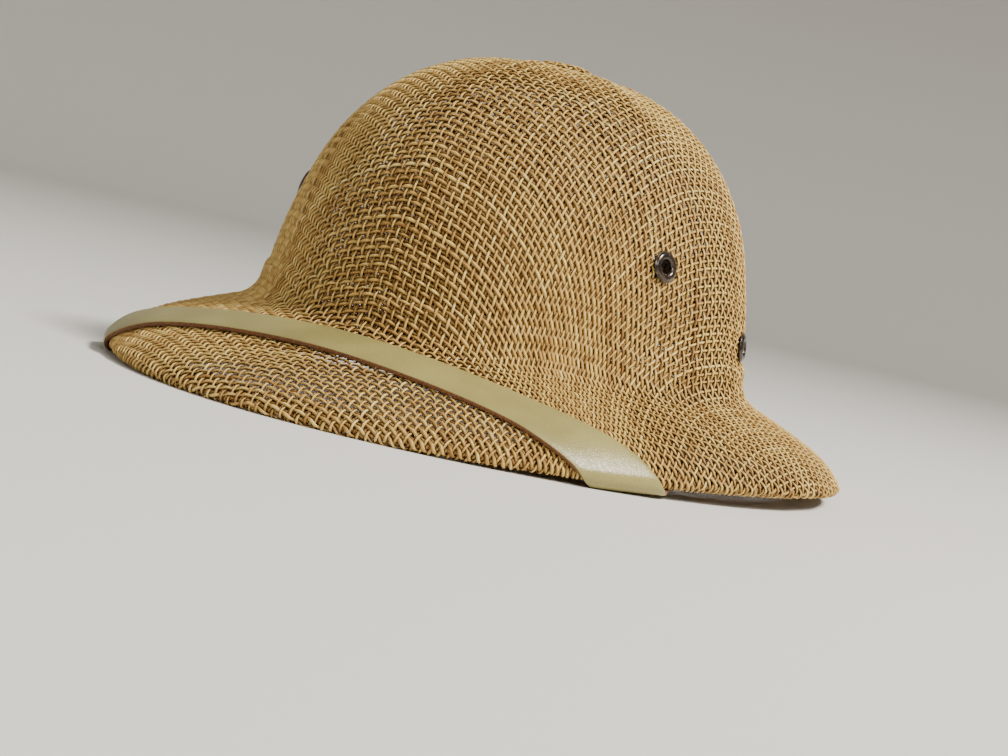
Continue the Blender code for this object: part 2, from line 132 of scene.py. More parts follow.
# Eyelets: angle from the front in degrees and share of the crown's height
EYELET_ROWS = {"front": (61.1, 0.402), "rear": (106.0, 0.185)}
EYELET_HOLE = 0.0025
EYELET_BARREL = 0.0033
EYELET_FLANGE = 0.0057
EYELET_RISE = 0.0014
CLINCH_RADIUS = 0.0048
CLINCH_RISE = 0.0009
CUT_RADIUS = 0.0036
# The flange's edge is rounded, and the clinched lip ends in a narrow flat
EYELET_EDGE = 0.00035
CLINCH_FLAT = 0.0001
EYELET_STEPS = 48
# Yarns further than this from the crown's face meet no eyelet
NEAR_EYELET = 0.010
GAP = 0.0004
INNER_GAP = 0.0007

# Strap
STRAP_WIDTH = 0.0170
STRAP_THICKNESS = 0.0018
STRAP_SETBACK = 0.0200
STRAP_RIM_ANGLE = math.radians(43.8)
STRAP_PLAN_EXPONENT = 2.1
STRAP_SKEWS_FROM = 0.65
STRAP_BULGE = 0.00018
# The hidden stretch: angle, distance out in fillets, rise in strap widths and twist
STRAP_ROUTE = (
    (73.0, 0.35, -0.62, 50.0),
    (82.0, 0.10, 0.0, 80.0),
    (90.5, 0.0, 0.46, 90.0),
    (99.0, 0.0, 0.55, 90.0),
)
STRAP_ROWS = {"brim": 40, "rim": 17, "hidden": 8}
# Across the strap in half widths: an even face, then closer lines over its shoulders
FACE_HALF_WIDTH = 0.78
FACE_LINES = 9
SHOULDER_LINES = np.array([0.9, 0.97, 1.0])
SHOULDER_START = 0.84
SHOULDER_DROP = 0.16
# Lines down the strap's edges: share of its thickness and of its bulge
EDGE_LINES = ((0.60, 1.0), (0.30, 1.0), (0.06, 0.4))
STRAP_END_PATCH = (0.002, 0.02)
RIVET_HEAD = 0.0035
RIVET_SHANK = 0.0015
RIVET_HEAD_THICKNESS = 0.0010
RIVET_RIM_SHARE = 0.3
RIVET_TIP = 0.00005
RIVET_STEPS = 32

# Camera, from the photo's outline of the helmet: pixels are in a frame of 1008 x 756
PHOTO_WIDTH = 1008
PHOTO_HEIGHT = 756
CAMERA_DISTANCE = 0.900
CAMERA_ANGLE = math.radians(26.0)
CAMERA_RISE = math.radians(1.13)
CAMERA_ROLL = math.radians(13.09)
FOCAL_PIXELS = 2339.5
TARGET_PIXEL = (518.5, 272.2)
TARGET_HEIGHT = 0.060
SENSOR_WIDTH = 36.0
NEAR_CLIP = 0.01

# Studio
FLOOR_COLOUR = (0.74, 0.72, 0.67)
# Painted shade: the wall is coloured darker than the floor, blending in over this height, as if light fell
# off behind the helmet
SHADED_WALL_COLOUR = (0.52, 0.50, 0.46)
WALL_SHADES_OVER = 0.60
FLOOR_RINGS = (0.4, 1.2)
FLOOR_RADIUS = 2.2
FLOOR_BEND = 0.9
WALL_TOP = 3.2
FLOOR_STEPS = 96
LIGHTS = (
    {"name": "key", "size": 0.5, "power": 86.0, "spot": (1.4, 0.1, 1.7), "colour": (1.0, 0.97, 0.92)},
    {"name": "front", "size": 0.8, "power": 20.0, "spot": (1.5, -1.5, 1.3), "colour": (1.0, 0.98, 0.95)},
    {"name": "fill", "size": 1.6, "power": 2.5, "spot": (-1.6, -1.2, 0.9), "colour": (0.95, 0.97, 1.0)},
)
SKY_COLOUR = (0.9, 0.95, 1.0, 1.0)
SKY_STRENGTH = 0.18

# Colours from dark to light, each with its place on the material's ramp
STRAW_TONES = (
    (0.0, (0.28, 0.140, 0.032)),
    (0.35, (0.55, 0.335, 0.095)),
    (0.7, (0.80, 0.57, 0.175)),
    (1.0, (0.92, 0.73, 0.29)),
)
KHAKI_TONES = ((0.3, (0.25, 0.210, 0.066)), (0.75, (0.36, 0.310, 0.102)))
BACKING_TONES = ((0.3, (0.10, 0.038, 0.014)), (0.72, (0.24, 0.105, 0.038)))
BRONZE_TONES = ((0.42, (0.016, 0.012, 0.010)), (0.80, (0.13, 0.075, 0.040)))

# Working steps
SETTLING_ROUNDS = 4
NEWTON_STEPS = 12
NEWTON_PROBE = 1e-5
LONGEST_NEWTON_STEP = 0.5 * PITCH
LEAST_DETERMINANT = 0.05
SMALL_TURN = 0.02

rng = np.random.default_rng(SEED)


def smoothstep(value):
    value = np.clip(value, 0.0, 1.0)
    return value * value * (3.0 - 2.0 * value)


def unit(vectors):
    return vectors / np.maximum(np.linalg.norm(vectors, axis=-1, keepdims=True), 1e-12)


def oval(angle, half_length, half_width, exponent):
    along = np.abs(np.cos(angle) / half_length) ** exponent
    across = np.abs(np.sin(angle) / half_width) ** exponent
    return (along + across) ** (-1.0 / exponent)


def base_radius(angle):
    return oval(angle, CROWN_HALF_LENGTH, CROWN_HALF_WIDTH, 2.0)


def rim_radius(angle):
    edge = ROLL_RADIUS * ROLL_OVERHANG
    length = np.where(np.cos(angle) > 0.0, BRIM_FRONT, BRIM_BACK) - edge
    return oval(angle, length, BRIM_HALF_WIDTH - edge, PLAN_EXPONENT)


def brim_end(angle):
    """Height of the brim's top face at the rim, and its slope there."""
    rest = math.sin(REST_HALF_ANGLE)
    share = np.maximum(0.0, np.abs(np.sin(angle)) - rest) / (1.0 - rest)
    lift = SIDE_LIFT * share ** LIFT_EXPONENT
    run = rim_radius(angle) - base_radius(angle)
    height = lift + 2.0 * ROLL_RADIUS
    for _ in range(SETTLING_ROUNDS):
        fall = (2.0 - FIRST_SLOPE) * (JOIN_HEIGHT - EDGE_BEND - height)
        slope = np.arctan((fall + BEND_EXPONENT * EDGE_BEND) / run)
        height = lift + ROLL_RADIUS * (np.cos(slope) + LAND_SHARE)
    return height, slope


def brim_point(angle, share, offset=0.0):
    """Radius and height on the brim's top face, moved out along its normal."""
    inner = base_radius(angle)
    run = rim_radius(angle) - inner
    drop = JOIN_HEIGHT - EDGE_BEND - brim_end(angle)[0]
    fall = drop * (FIRST_SLOPE + (1.0 - FIRST_SLOPE) * share) * share + EDGE_BEND * share ** BEND_EXPONENT
    slope = drop * (FIRST_SLOPE + 2.0 * (1.0 - FIRST_SLOPE) * share)
    slope = slope + EDGE_BEND * BEND_EXPONENT * share ** (BEND_EXPONENT - 1.0)
    length = np.hypot(run, slope)
    return inner + run * share + offset * slope / length, JOIN_HEIGHT - fall + offset * run / length


def roll_point(angle, turn, offset):
    """On the turned edge: turn 0 is the brim's top face and pi is the hem."""
    height, slope = brim_end(angle)
    heading = math.pi / 2 - slope - turn
    reach = ROLL_RADIUS + offset
    radius = rim_radius(angle) - ROLL_RADIUS * np.sin(slope) + reach * np.cos(heading)
    return radius, height - ROLL_RADIUS * np.cos(slope) + reach * np.sin(heading)


def crown_point(angle, lean):
    """Radius and height on the crown: lean 0 is its top and pi/2 its widest line."""
    width_share = np.sin(lean) ** (2.0 / WIDTH_EXPONENT) / BASE_SHARE
    above = np.maximum(np.cos(lean), 0.0) ** (2.0 / HEIGHT_EXPONENT) * CURVE_HEIGHT - CROWN_FLARE_DROP
    height_share = np.maximum(0.0, above / DOME_HEIGHT)
    recess = BAND_PROUD * smoothstep((above - BAND_HEIGHT) / BAND_EDGE + 0.5)
    radius = (base_radius(angle) - recess) * width_share
    fade = smoothstep((height_share - CREASE_TO) / (CREASE_FROM - CREASE_TO))
    start = smoothstep((radius / BUTTON_RADIUS - CREASE_START) / CREASE_RUN_IN)
    half = math.pi / PANELS
    away = np.abs((angle + half) % (2.0 * half) - half)
    proud = CREASE_PROUD * (1.0 - away / half) ** 2 * fade * start
    slope = smoothstep((radius / BUTTON_RADIUS - BUTTON_SLOPE_FROM) / BUTTON_SLOPE)
    button = BUTTON_PROUD * (1.0 - slope)
    return radius + proud * width_share, JOIN_HEIGHT + above + proud * height_share + button


def lean_at_height(above):
    return np.arccos(((above + CROWN_FLARE_DROP) / CURVE_HEIGHT) ** (HEIGHT_EXPONENT / 2.0))


def place(angle, profile):
    """Points at these angles with a radius and a height each."""
    radius, height = profile
    spot = np.broadcast_arrays(radius * np.sin(angle), MIDDLE_Y - radius * np.cos(angle), height)
    return np.stack(spot, axis=-1)


class Surface:
    """The helmet's outer face on a grid of angles and distances from the crown's top."""

    ANGLE_STEPS = 720
    CROWN_STEPS = 420
    # Above 1, steps crowd towards the crown's top
    CROWN_CROWDING = 1.15
    FILLET_STEPS = 30
    BRIM_STEPS = 120
    STEP = 0.0005
    STEPS_PAST_RIM = 80
    PROBE = 0.0004
    LEAST_REACH = 1e-5

    def __init__(self):
        self.angles = np.arange(self.ANGLE_STEPS) * 2.0 * math.pi / self.ANGLE_STEPS
        radius, height = self.profiles()
        length = np.cumsum(np.hypot(np.diff(radius, axis=1), np.diff(height, axis=1)), axis=1)
        length = np.hstack([np.zeros((self.ANGLE_STEPS, 1)), length])
        self.rim = length[:, -1]
        self.count = int(self.rim.max() / self.STEP) + self.STEPS_PAST_RIM
        reach = np.arange(self.count) * self.STEP
        self.radius = np.empty((self.ANGLE_STEPS, self.count))
        self.height = np.empty_like(self.radius)
        _, self.slope = brim_end(self.angles)
        for i in range(self.ANGLE_STEPS):
            past = np.maximum(0.0, reach - self.rim[i])
            self.radius[i] = np.interp(reach, length[i], radius[i]) + past * math.cos(self.slope[i])
            self.height[i] = np.interp(reach, length[i], height[i]) - past * math.sin(self.slope[i])

    def profiles(self):
        """Radius and height from the crown's top to the rim, for every angle."""
        angle = self.angles[:, None]
        lean = np.linspace(0.0, 1.0, self.CROWN_STEPS)[None, :] ** self.CROWN_CROWDING
        crown = crown_point(angle, lean * lean_at_height(JOIN_FILLET))
        start = JOIN_FILLET / (rim_radius(angle) - base_radius(angle))
        foot = brim_point(angle, start)
        turn = np.linspace(0.0, 1.0, self.FILLET_STEPS)[None, 1:]
        weights = ((1.0 - turn) ** 2, 2.0 * turn * (1.0 - turn), turn ** 2)
        corner = (base_radius(angle), JOIN_HEIGHT)
        bend = [weights[0] * crown[i][:, -1:] + weights[1] * corner[i] + weights[2] * foot[i]
                for i in range(2)]
        share = start + (1.0 - start) * np.linspace(0.0, 1.0, self.BRIM_STEPS)[None, 1:]
        brim = brim_point(angle, share)
        return [np.hstack([crown[i], bend[i], brim[i]]) for i in range(2)]

    def look_up(self, table, spot):
        """Bilinear value of a table at points given as distances along X and along -Y."""
        turn = np.arctan2(spot[..., 0], spot[..., 1]) % (2.0 * math.pi)
        turn = turn * self.ANGLE_STEPS / (2.0 * math.pi)
        row = np.floor(turn).astype(int)
        part = turn - row
        row %= self.ANGLE_STEPS
        after = (row + 1) % self.ANGLE_STEPS
        if table.ndim == 1:
            return table[row] * (1.0 - part) + table[after] * part
        reach = np.hypot(spot[..., 0], spot[..., 1]) / self.STEP
        column = np.clip(np.floor(reach).astype(int), 0, self.count - 2)
        across = np.clip(reach - column, 0.0, 1.0)
        near = table[row, column] * (1.0 - across) + table[row, column + 1] * across
        far = table[after, column] * (1.0 - across) + table[after, column + 1] * across
        return near * (1.0 - part) + far * part

    def flat_point(self, spot):
        """Point on the face with the edge not yet turned under."""
        angle = np.arctan2(spot[..., 0], spot[..., 1])
        return place(angle, (self.look_up(self.radius, spot), self.look_up(self.height, spot)))

    def past_rim(self, spot):
        """How far past the rim a point of the cloth lies, and negative before it."""
        return np.hypot(spot[..., 0], spot[..., 1]) - self.look_up(self.rim, spot)

    def folded(self, spot):
        """The wall's middle with the edge turned under, and its normal."""
        reach = np.maximum(np.hypot(spot[..., 0], spot[..., 1]), self.LEAST_REACH)
        angle = np.arctan2(spot[..., 0], spot[..., 1])
        past = self.past_rim(spot)
        bend = ROLL_RADIUS - WALL / 2
        under = np.maximum(past - math.pi * bend, 0.0)
        beyond = past > 0.0
        there = spot * np.where(beyond, (reach - past - under) / reach, 1.0)[..., None]
        small = np.minimum(self.PROBE / reach, 0.5)[..., None]
        radius, height = self.look_up(self.radius, there), self.look_up(self.height, there)
        before, after = there * (1.0 - small), there * (1.0 + small)
        out = self.look_up(self.radius, after) - self.look_up(self.radius, before)
        down = self.look_up(self.height, before) - self.look_up(self.height, after)
        slope = np.where(beyond & (under <= 0.0), self.look_up(self.slope, spot), np.arctan2(down, out))
        flat = math.pi / 2 - slope
        heading = flat - np.clip(past / bend, 0.0, math.pi)
        radius = radius - ROLL_RADIUS * np.cos(flat) + bend * np.cos(heading)
        height = height - ROLL_RADIUS * np.sin(flat) + bend * np.sin(heading)
        level = np.cos(heading)
        normal = np.stack([level * np.sin(angle), -level * np.cos(angle), np.sin(heading)], axis=-1)
        return place(angle, (radius, height)), normal


def solve_crossings(surface, ahead, side, known):
    """Places one pitch from two known crossings each, by Newton's steps on the face."""
    spot = ahead + side - known
    others = [surface.flat_point(other) for other in (ahead, side)]
    for _ in range(NEWTON_STEPS):
        here = surface.flat_point(spot)
        to_x = (surface.flat_point(spot + (NEWTON_PROBE, 0.0)) - here) / NEWTON_PROBE
        to_y = (surface.flat_point(spot + (0.0, NEWTON_PROBE)) - here) / NEWTON_PROBE
        gaps = []
        rows = []
        for other in others:
            away = here - other
            gaps.append(np.linalg.norm(away, axis=-1) - PITCH)
            away = unit(away)
            rows.append((np.sum(away * to_x, axis=-1), np.sum(away * to_y, axis=-1)))
        (a, b), (c, d) = rows
        det = a * d - b * c
        least = np.where(det < 0.0, -LEAST_DETERMINANT, LEAST_DETERMINANT)
        det = np.where(np.abs(det) < LEAST_DETERMINANT, least, det)
        step = np.stack([(d * gaps[0] - b * gaps[1]) / det, (a * gaps[1] - c * gaps[0]) / det], axis=-1)
        length = np.linalg.norm(step, axis=-1, keepdims=True)
        spot = spot - step * np.minimum(1.0, LONGEST_NEWTON_STEP / np.maximum(length, 1e-9))
    return spot


def draped_quarter(surface, front):
    """Crossings of one quarter of the cloth, draped from the crown's top over the helmet."""
    count = int((surface.rim.max() + HEM_DEPTH + SPARE_CLOTH) / PITCH)
    spots = np.full((count, count, 2), np.nan)
    steps = np.arange(count)[:, None] * PITCH
    spots[0, :] = steps * (0.0, front)
    spots[:, 0] = steps * (1.0, 0.0)
    limit = HEM_DEPTH + math.pi * ROLL_RADIUS + 2.0 * PITCH
    for total in range(2, 2 * count - 1):
        i = np.arange(max(1, total - count + 1), min(count, total))
        j = total - i
        ready = ~np.isnan(spots[i - 1, j, 0] + spots[i, j - 1, 0] + spots[i - 1, j - 1, 0])
        i, j = i[ready], j[ready]
        if len(i):
            inside = surface.past_rim(spots[i - 1, j - 1]) < limit
            i, j = i[inside], j[inside]
        if not len(i):
            break
        spots[i, j] = solve_crossings(surface, spots[i - 1, j], spots[i, j - 1], spots[i - 1, j - 1])
    return spots


def draped_cloth(surface):
    """All crossings: the first index runs along X and the second from back to front."""
    front = draped_quarter(surface, 1.0)
    back = draped_quarter(surface, -1.0)
    left = np.concatenate([back[:, :0:-1], front], axis=1)
    right = left[:0:-1] * np.array([-1.0, 1.0])
    return np.concatenate([right, left], axis=0)


def slow_noise(places, spacing):
    """Smooth random values about 0 along a yarn."""
    knots = rng.normal(0.0, 1.0, int(len(places) / spacing) + 4)
    return np.interp(np.arange(len(places)) / spacing, np.arange(len(knots)), knots)


def stray(places, spread):
    """A random shift of a whole yarn, with a slow one along it."""
    return rng.normal(0.0, spread["whole"]) + spread["slow"] * slow_noise(places, spread["samples"])


def between(p0, p1, p2, p3, part):
    """On the smooth curve through four points, this part of the way from the second to the third."""
    return 0.5 * (2.0 * p1 + (p2 - p0) * part + (2.0 * p0 - 5.0 * p1 + 4.0 * p2 - p3) * part ** 2
                  + (3.0 * p1 - p0 - 3.0 * p2 + p3) * part ** 3)


def yarn_samples(surface, nodes, first, parity, yarn_radius, ply):
    """Planar places, heights, thicknesses and tones along one yarn through its crossings."""
    past = surface.past_rim(nodes)
    roll_start = -ROLL_MARGINS[0] * PITCH
    roll_end = math.pi * (ROLL_RADIUS - WALL / 2) + ROLL_MARGINS[1] * PITCH
    times = []
    for k in range(len(nodes) - 1):
        if min(past[k], past[k + 1]) < roll_end and max(past[k], past[k + 1]) > roll_start:
            times += [k + (m + 0.5) / ply["roll_steps"] for m in range(ply["roll_steps"])]
        else:
            times += [k + hop for hop in ply["hops"]]
    times = np.array(times)
    index = np.floor(times).astype(int)
    part = (times - index)[:, None]
    padded = np.concatenate([2.0 * nodes[:1] - nodes[1:2], nodes, 2.0 * nodes[-1:] - nodes[-2:-1]])
    p0, p1, p2, p3 = (padded[index + shift] for shift in range(4))
    ahead = unit(p2 - p1)
    aside = np.stack([-ahead[:, 1], ahead[:, 0]], axis=1)
    sideways = stray(times, SIDEWAYS_STRAY) * PITCH
    spots = between(p0, p1, p2, p3, part) + aside * sideways[:, None]
    swing = parity * (-1.0) ** (first % 2)
    wave = np.clip(CRIMP_SHARPNESS * np.cos(math.pi * times), -1.0, 1.0)
    heights = ply["offset"] + swing * CRIMP * wave
    thick = yarn_radius * (1.0 + stray(times, THICKNESS_STRAY))
    tone = 0.5 + stray(times, TONE_STRAY) + rng.normal(0.0, TONE_SPECKS, len(times))
    keep = surface.past_rim(spots) < math.pi * (ROLL_RADIUS - WALL / 2) + HEM_DEPTH
    return spots, heights, thick, np.clip(tone, 0.0, 1.0), keep


def seat_at(angle, height_share):
    """Place on the crown's outer face, and the axes of a seat whose Z runs out of it."""
    lean = lean_at_height(height_share * DOME_HEIGHT)
    here = place(angle, crown_point(angle, lean))
    along = unit(place(angle + SMALL_TURN, crown_point(angle + SMALL_TURN, lean)) - here)
    down = place(angle, crown_point(angle, lean + SMALL_TURN)) - here
    out = unit(np.cross(down, along))
    return here, (along, unit(np.cross(out, along)), out)


def eyelet_seats():
    """The seat of each eyelet, by the name of its node."""
    seats = {}
    for name, (degrees, height_share) in EYELET_ROWS.items():
        for side, sign in (("left", 1.0), ("right", -1.0)):
            seats["eyelet_" + side + "_" + name] = seat_at(sign * math.radians(degrees), height_share)
    return seats


def cut_round_eyelets(points, keep, run, seats):
    """Ends the yarns at each eyelet's barrel, and says after which samples they are cut."""
    cut = np.concatenate([run[1:] != run[:-1], [True]])
    for here, (_, _, out) in seats.values():
        away = points - here
        above = away @ out
        distance = np.linalg.norm(away - above[:, None] * out, axis=1)
        inside = (distance < CUT_RADIUS) & (np.abs(above) < NEAR_EYELET)
        first = inside & ~np.concatenate([[False], inside[:-1]])
        last = inside & ~np.concatenate([inside[1:], [False]]) & ~first
        for edge, step in ((first, 1), (last, -1)):
            index = np.nonzero(edge)[0]
            back = index - step
            share = (distance[back] - CUT_RADIUS) / np.maximum(distance[back] - distance[index], 1e-6)
            points[index] = points[back] + (points[index] - points[back]) * share[:, None]
        cut |= first
        cut[np.nonzero(last)[0] - 1] = True
        keep &= ~(inside & ~first & ~last)
    return cut


def mesh_from_arrays(name, points, corners, sizes):
    """A mesh from corner indices in a row and the corner count of each face."""
    mesh = bpy.data.meshes.new(name)
    mesh.vertices.add(len(points))
    mesh.vertices.foreach_set("co", np.ascontiguousarray(points, dtype=np.float32).ravel())
    mesh.loops.add(len(corners))
    mesh.loops.foreach_set("vertex_index", np.ascontiguousarray(corners, dtype=np.int32))
    mesh.polygons.add(len(sizes))
    starts = np.concatenate([[0], np.cumsum(sizes)[:-1]])
    mesh.polygons.foreach_set("loop_start", starts.astype(np.int32))
    mesh.update(calc_edges=True)
    return mesh


def finish_mesh(mesh, uv, materials):
    """Texture places, materials and smooth shading."""
    layer = mesh.uv_layers.new(name="OFBake")
    layer.data.foreach_set("uv", np.ascontiguousarray(uv, dtype=np.float32).ravel())
    for material in materials:
        mesh.materials.append(material)
    mesh.polygons.foreach_set("use_smooth", np.full(len(mesh.polygons), True))
    mesh.update()


def add_attribute(mesh, name, kind, values):
    layer = mesh.attributes.new(name, kind, "POINT")
    key = "vector" if kind == "FLOAT_VECTOR" else "value"
    layer.data.foreach_set(key, np.ascontiguousarray(values, dtype=np.float32).ravel())


def add_object(name, mesh, slot, *nodes):
    """A piece on the one body, in place of these nodes."""
    thing = bpy.data.objects.new(name, mesh)
    bpy.context.scene.collection.objects.link(thing)
    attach(thing, "root")
    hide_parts(*nodes)
    return thing


def kept_samples(yarns, surface, seats):
    """The samples of all these yarns in one row, trimmed at the hem and cut at the eyelets."""
    spots, heights, thick, tone, keep = (np.concatenate([yarn[i] for yarn in yarns]) for i in range(5))
    # How deep each sample lies in the cloth: this feeds the painted shade in the cloth's recesses
    depth = np.clip((TOP_OF_CLOTH - heights) / DEEP_IN_CLOTH, 0.0, 1.0)
    run = np.concatenate([np.full(len(yarn[1]), k) for k, yarn in enumerate(yarns)])
    points, normals = surface.folded(spots)
    points = points + normals * heights[:, None]
    cut = cut_round_eyelets(points, keep, run, seats)
    piece = np.cumsum(np.concatenate([[0], cut[:-1] | ~keep[1:] | ~keep[:-1]]))
    _, inverse, count = np.unique(piece, return_inverse=True, return_counts=True)
    keep &= count[inverse] > 1
    return [values[keep] for values in (points, normals, thick, tone, depth, run, piece)]


def length_along(points, has_last, run):
    """How far along its own yarn each sample lies."""
    index = np.arange(len(points))
    along = np.cumsum(np.linalg.norm(points - points[index - has_last], axis=1))
    starts = np.nonzero(np.concatenate([[True], run[1:] != run[:-1]]))[0]
    return along - along[starts][np.searchsorted(starts, index, side="right") - 1]


def tube_faces(has_last, has_next):
    """Walls from each sample to the next and caps at the loose ends, with what they belong to."""
    k = np.arange(YARN_SIDES)
    first = np.nonzero(has_next)[0]
    here, there, beside = first[:, None] * YARN_SIDES, (first[:, None] + 1) * YARN_SIDES, (k + 1) % YARN_SIDES
    walls = np.stack([here + k, here + beside, there + beside, there + k], axis=-1).reshape(-1)
    heads, tails = np.nonzero(~has_last)[0], np.nonzero(~has_next)[0]
    ends = np.concatenate([heads, tails])
    order = np.concatenate([np.tile(k[::-1], (len(heads), 1)), np.tile(k, (len(tails), 1))])
    caps = (ends[:, None] * YARN_SIDES + order).reshape(-1)
    sizes = np.concatenate([np.full(len(walls) // 4, 4), np.full(len(ends), YARN_SIDES)])
    return np.concatenate([walls, caps]), sizes, first, ends, order


def strip_texture(along, run, first, ends, order, count):
    """Texture places of the faces: length to the right, one yarn above another."""
    k = np.arange(YARN_SIDES)
    longest = along.max()
    low = (run[first][:, None] + STRIP_MARGIN + STRIP_SHARE * k / YARN_SIDES) / count
    high = low + STRIP_SHARE / YARN_SIDES / count
    left, right = (np.repeat(along[first + shift, None] / longest, YARN_SIDES, axis=1) for shift in (0, 1))
    u = np.stack([left, left, right, right], axis=-1)
    v = np.stack([low, high, high, low], axis=-1)
    small = END_PATCH * YARN_RADII[0] / longest
    turn = 2.0 * math.pi * order / YARN_SIDES
    cap_u = np.clip(along[ends] / longest, small, 1.0 - small)[:, None] + small * np.cos(turn)
    cap_v = (run[ends][:, None] + 0.5 + END_PATCH * np.sin(turn)) / count
    return np.concatenate([np.stack(pair, axis=-1).reshape(-1, 2) for pair in ((u, v), (cap_u, cap_v))])


def add_yarns(name, yarns, surface, seats, material):
    """One piece: tubes along these yarns, with what the straw's material reads from them."""
    points, normals, thick, tone, depth, run, piece = kept_samples(yarns, surface, seats)
    index = np.arange(len(points))
    joined = piece[1:] == piece[:-1]
    has_next = np.concatenate([joined, [False]])
    has_last = np.concatenate([[False], joined])
    tangent = unit(points[index + has_next] - points[index - has_last])
    side = unit(np.cross(tangent, normals))
    up = np.cross(side, tangent)
    turn = 2.0 * math.pi * np.arange(YARN_SIDES) / YARN_SIDES
    ring = (np.cos(turn)[None, :, None] * up[:, None] * YARN_FLATNESS
            + np.sin(turn)[None, :, None] * side[:, None])
    rings = points[:, None] + ring * thick[:, None, None]
    corners, sizes, first, ends, order = tube_faces(has_last, has_next)
    mesh = mesh_from_arrays(name, rings.reshape(-1, 3), corners, sizes)
    add_attribute(mesh, "tone", "FLOAT", np.repeat(tone, YARN_SIDES))
    along = length_along(points, has_last, run)
    lengthwise = np.repeat((along * GRAIN_PER_METRE + run * GRAIN_BETWEEN_YARNS)[:, None], YARN_SIDES, axis=1)
    round_about = [np.broadcast_to(wave(turn), (len(points), YARN_SIDES)) for wave in (np.cos, np.sin)]
    add_attribute(mesh, "grain", "FLOAT_VECTOR", np.stack([lengthwise] + round_about, axis=-1))
    # Painted shade: the attribute inner darkens faces that turn into the helmet and samples deep in the
    # cloth, where shade would fall
    outward = PAINTED_SHADE_ONSET["gain"] * np.sum(ring * normals[:, None], axis=-1)
    facing_in = np.clip((PAINTED_SHADE_ONSET["start"] - outward) / PAINTED_SHADE_ONSET["span"], 0.0, 1.0)
    add_attribute(mesh, "inner", "FLOAT", 1.0 - (1.0 - facing_in) * (1.0 - PAINTED_DEPTH_SHADE * depth[:, None]))
    finish_mesh(mesh, strip_texture(along, run, first, ends, order, len(yarns)), [material])
    return add_object(name, mesh, "straw", "woven_shell")


def add_ply(ply, crossings, surface, seats, material):
    """The six pieces of one ply, from the crossings of its yarns."""
    middle = crossings.shape[0] // 2
    groups = {}
    for family, (label, thirds) in enumerate(FAMILIES):
        for line in range(crossings.shape[0]):
            nodes = crossings[:, line] if family == 0 else crossings[line]
            found = np.nonzero(~np.isnan(nodes[:, 0]))[0]
            third = int(np.clip((line - middle) / (middle * MIDDLE_PIECE_SHARE) + 1.5, 0, 2))
            name = ply["name"] + "_yarns_" + label + "_" + thirds[third]
            parity = (1.0 if family == 0 else -1.0) * (-1.0) ** (line % 2)
            for stretch in np.split(found, np.nonzero(np.diff(found) > 1)[0] + 1):
                if len(stretch) < 3:
                    continue
                sample = yarn_samples(surface, nodes[stretch], stretch[0], parity, YARN_RADII[family], ply)
                if np.count_nonzero(sample[-1]) > 2:
                    groups.setdefault(name, []).append(sample)
    for name, yarns in groups.items():
        add_yarns(name, yarns, surface, seats, material)


def add_weave(material):
    """Both plies: the inner one's crossings are amid the cells of the outer one's."""
    surface = Surface()
    seats = eyelet_seats()
    cloth = draped_cloth(surface)
    amid = (cloth[:-1, :-1] + cloth[1:, :-1] + cloth[:-1, 1:] + cloth[1:, 1:]) / 4.0
    for ply, crossings in zip(PLIES, (cloth, amid)):
        add_ply(ply, crossings, surface, seats, material)


def shader_of(name):
    """A new material, its node tree and its shader."""
    material = bpy.data.materials.new(name)
    material.use_nodes = True
    tree = material.node_tree
    return material, tree, tree.nodes["Principled BSDF"]


def attribute(tree, name):
    node = tree.nodes.new("ShaderNodeAttribute")
    node.attribute_name = name
    return node


def noise(tree, source, scale, detail):
    node = tree.nodes.new("ShaderNodeTexNoise")
    node.inputs["Scale"].default_value = scale
    node.inputs["Detail"].default_value = detail
    tree.links.new(source, node.inputs["Vector"])
    return node.outputs["Fac"]


def object_place(tree):
    return tree.nodes.new("ShaderNodeTexCoord").outputs["Object"]


def math_node(tree, operation, *values):
    """A value worked out from numbers and from other nodes' outputs."""
    node = tree.nodes.new("ShaderNodeMath")
    node.operation = operation
    for socket, value in zip(node.inputs, values):
        if isinstance(value, float):
            socket.default_value = value
        else:
            tree.links.new(value, socket)
    return node.outputs[0]


def colour_ramp(tree, source, stops):
    node = tree.nodes.new("ShaderNodeValToRGB")
    elements = node.color_ramp.elements
    elements[0].position, elements[0].color = stops[0][0], (*stops[0][1], 1.0)
    elements[1].position, elements[1].color = stops[-1][0], (*stops[-1][1], 1.0)
    for position, colour in stops[1:-1]:
        elements.new(position).color = (*colour, 1.0)
    tree.links.new(source, node.inputs["Fac"])
    return node.outputs["Color"]


def map_range(tree, source, low, high, to_low, to_high):
    node = tree.nodes.new("ShaderNodeMapRange")
    for key, value in (("From Min", low), ("From Max", high), ("To Min", to_low), ("To Max", to_high)):
        node.inputs[key].default_value = value
    tree.links.new(source, node.inputs["Value"])
    return node.outputs["Result"]


def bump(tree, shader, source, strength, distance):
    node = tree.nodes.new("ShaderNodeBump")
    node.inputs["Strength"].default_value = strength
    node.inputs["Distance"].default_value = distance
    tree.links.new(source, node.inputs["Height"])
    tree.links.new(node.outputs["Normal"], shader.inputs["Normal"])


